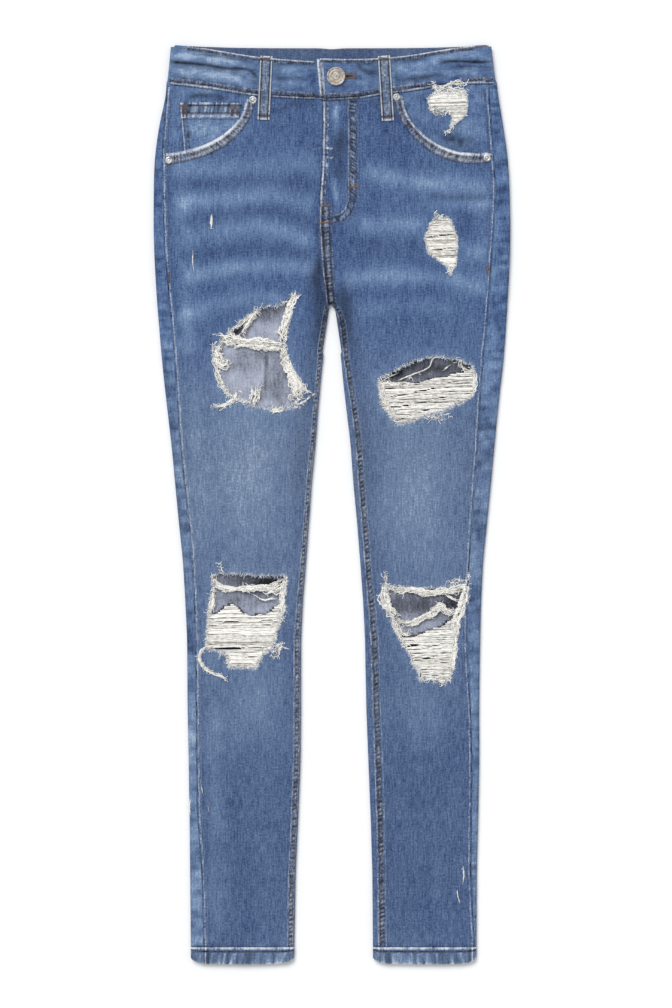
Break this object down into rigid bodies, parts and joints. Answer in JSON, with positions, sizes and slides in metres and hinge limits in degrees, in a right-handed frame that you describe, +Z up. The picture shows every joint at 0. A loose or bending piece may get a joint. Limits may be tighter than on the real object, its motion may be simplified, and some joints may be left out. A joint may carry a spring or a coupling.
{
  "type": "ripped jeans",
  "caption": "Ripped five-pocket skinny jeans laid flat, front up, with worn holes at the thighs and knees, lapped waistband, belt loops, tack button, rivets and folded hems.",
  "frame": {"origin": "centre of the garment's outline, on the surface that it lies on", "axes": "+X to the wearer's left, +Y towards the waist, +Z up out of the front of the garment"},
  "size_m": [0.3742, 0.9674, 0.0124],
  "materials": {
    "denim": "stonewashed mid-blue stretch denim, faded along the thighs and whiskered at the hips",
    "denim_band": "the same denim, doubled, with worn pale edges",
    "denim_inside": "the pale grey-blue weft side of the denim",
    "weft_yarn": "bare undyed cotton yarn",
    "topstitch": "tan and orange-brown cotton-wrapped thread",
    "button_metal": "brushed champagne nickel",
    "rivet_metal": "polished nickel, slightly dulled"
  },
  "bodies": {
    "root": {"front_panel_right": "denim", "front_panel_left": "denim", "back_panel_right": "denim", "back_panel_left": "denim", "yoke_right": "denim", "yoke_left": "denim", "waistband": "denim_band", "belt_loop_front_right": "denim_band", "belt_loop_front_left": "denim_band", "belt_loop_back_right": "denim_band", "belt_loop_back_centre": "denim_band", "belt_loop_back_left": "denim_band", "pocket_facing_right": "denim", "pocket_facing_left": "denim", "coin_pocket": "denim", "back_pocket_right": "denim", "back_pocket_left": "denim", "hem_right": "denim", "hem_left": "denim", "button": "button_metal", "rivet_right_waist": "rivet_metal", "rivet_right_side": "rivet_metal", "rivet_left_waist": "rivet_metal", "rivet_left_side": "rivet_metal"}
  },
  "joints": []
}
